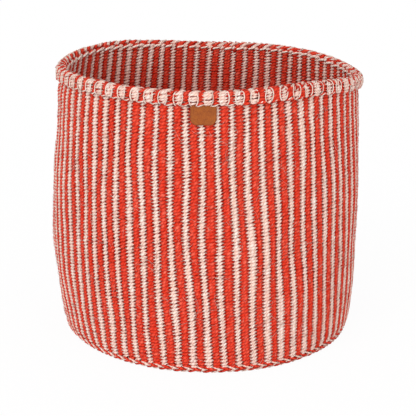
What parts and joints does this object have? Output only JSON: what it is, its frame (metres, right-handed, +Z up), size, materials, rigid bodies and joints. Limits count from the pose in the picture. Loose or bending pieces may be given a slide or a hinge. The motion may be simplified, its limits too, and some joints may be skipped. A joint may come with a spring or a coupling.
{
  "type": "woven storage basket",
  "caption": "Round open storage basket twined from striped red and natural sisal, with a turned-down cuff, a braided foot edge and a small leather tag.",
  "frame": {"origin": "middle of the flat foot, on the floor", "axes": "+Z up out of the open mouth, the leather tag's side faces -Y, +X to the right seen from the tag's side"},
  "size_m": [0.3644, 0.3713, 0.3225],
  "materials": {
    "striped_weave": "matte twined sisal in upright red and cream stripes",
    "red_sisal": "matte dyed two-ply sisal yarn",
    "cream_sisal": "matte natural two-ply sisal yarn",
    "floor_sisal": "matte natural sisal, twined in rings",
    "tag_leather": "satin tan leather with raw edges"
  },
  "bodies": {
    "basket": {"base_start_knot": "floor_sisal", "base_weave": "floor_sisal", "base_braid_lower": "red_sisal", "base_braid_upper": "cream_sisal", "wall_weave": "striped_weave", "turned_warp_ends": "cream_sisal", "rim_edge_braid": "red_sisal", "cuff_weave": "striped_weave", "hem_thread": "cream_sisal", "tag_tab": "tag_leather", "tag_stitch_left": "cream_sisal", "tag_stitch_right": "cream_sisal"},
    "tag": {"tag_flap": "tag_leather"}
  },
  "joints": [
    {"name": "tag_lift", "type": "hinge", "parent": "basket", "child": "tag", "pos_m": [-0.0028, -0.17475, 0.29559], "axis": [-1, 0, 0], "range_deg": [0, 75]}
  ]
}
